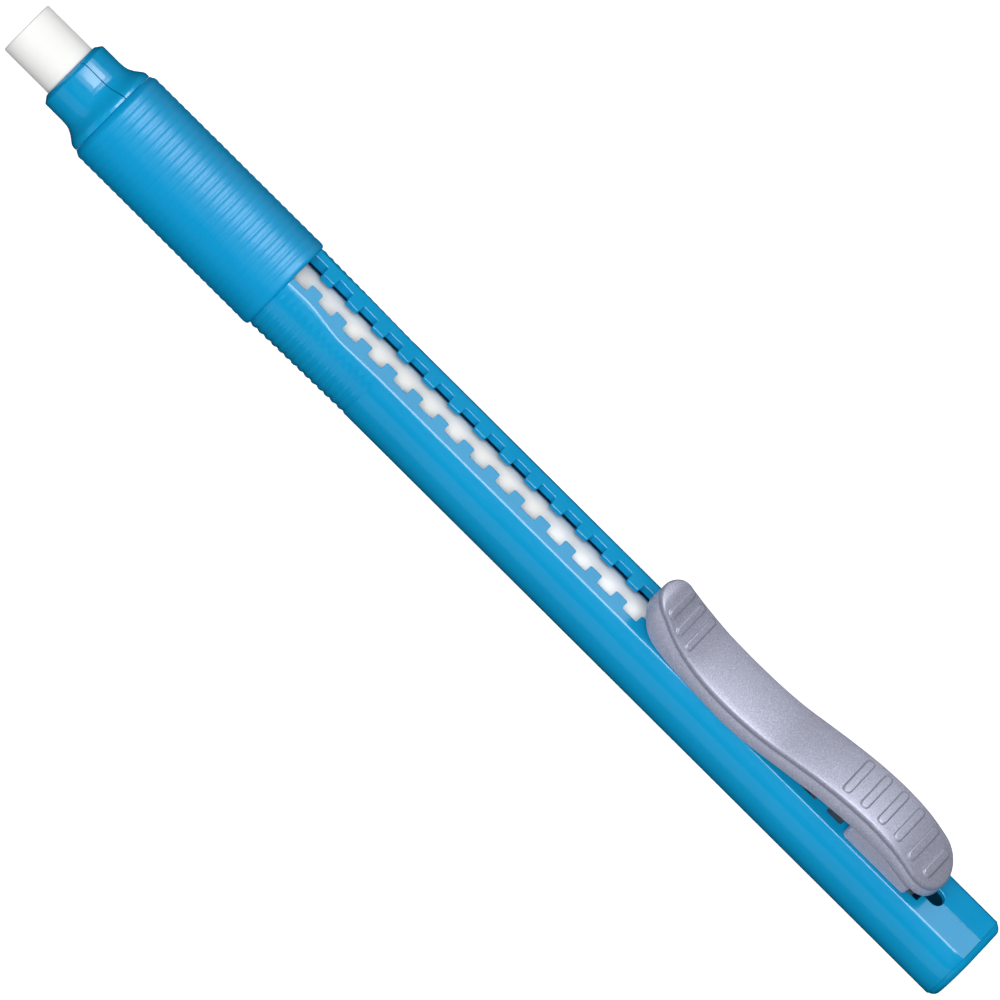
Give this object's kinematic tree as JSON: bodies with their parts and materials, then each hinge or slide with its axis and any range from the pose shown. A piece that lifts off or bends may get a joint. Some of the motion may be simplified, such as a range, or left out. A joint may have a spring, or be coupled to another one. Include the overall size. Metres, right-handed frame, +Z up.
{
  "type": "click eraser",
  "caption": "Pen-shaped stick eraser holder with a toothed slot, a sliding pocket clip that advances the refill, and a ribbed grip.",
  "frame": {"origin": "centre of the tail's flat end face, on the stick's axis", "axes": "+X out of the tail, so the eraser points to -X; +Z up through the slot and the clip; +Y across"},
  "size_m": [0.1461, 0.0122, 0.0167],
  "materials": {
    "barrel_plastic": "glossy injection-moulded, sky blue",
    "grip_rubber": "satin ribbed rubber, sky blue",
    "eraser_vinyl": "matte soft vinyl, white",
    "holder_plastic": "satin moulded, white",
    "clip_plastic": "satin moulded with fine metallic fleck, silver-lavender"
  },
  "bodies": {
    "housing": {"barrel": "barrel_plastic", "nose_collet": "barrel_plastic", "grip_sleeve": "grip_rubber", "tail_plug": "barrel_plastic"},
    "carriage": {"slider_foot": "clip_plastic", "refill_holder": "holder_plastic"},
    "lever": {"clip_lever": "clip_plastic"},
    "stick": {"eraser_stick": "eraser_vinyl"}
  },
  "joints": [
    {"name": "click_slide", "type": "slide", "parent": "housing", "child": "carriage", "axis": [-1, 0, 0], "range_m": [0, 0.0474]},
    {"name": "clip_rock", "type": "hinge", "parent": "carriage", "child": "lever", "pos_m": [-0.0158, 0, 0.0073], "axis": [0, 1, 0], "range_deg": [0, 5], "stiffness_Nm_per_rad": 0.1, "springref_deg": -1.15},
    {"name": "stick_pull", "type": "slide", "parent": "carriage", "child": "stick", "axis": [-1, 0, 0], "range_m": [0, 0.018]}
  ]
}
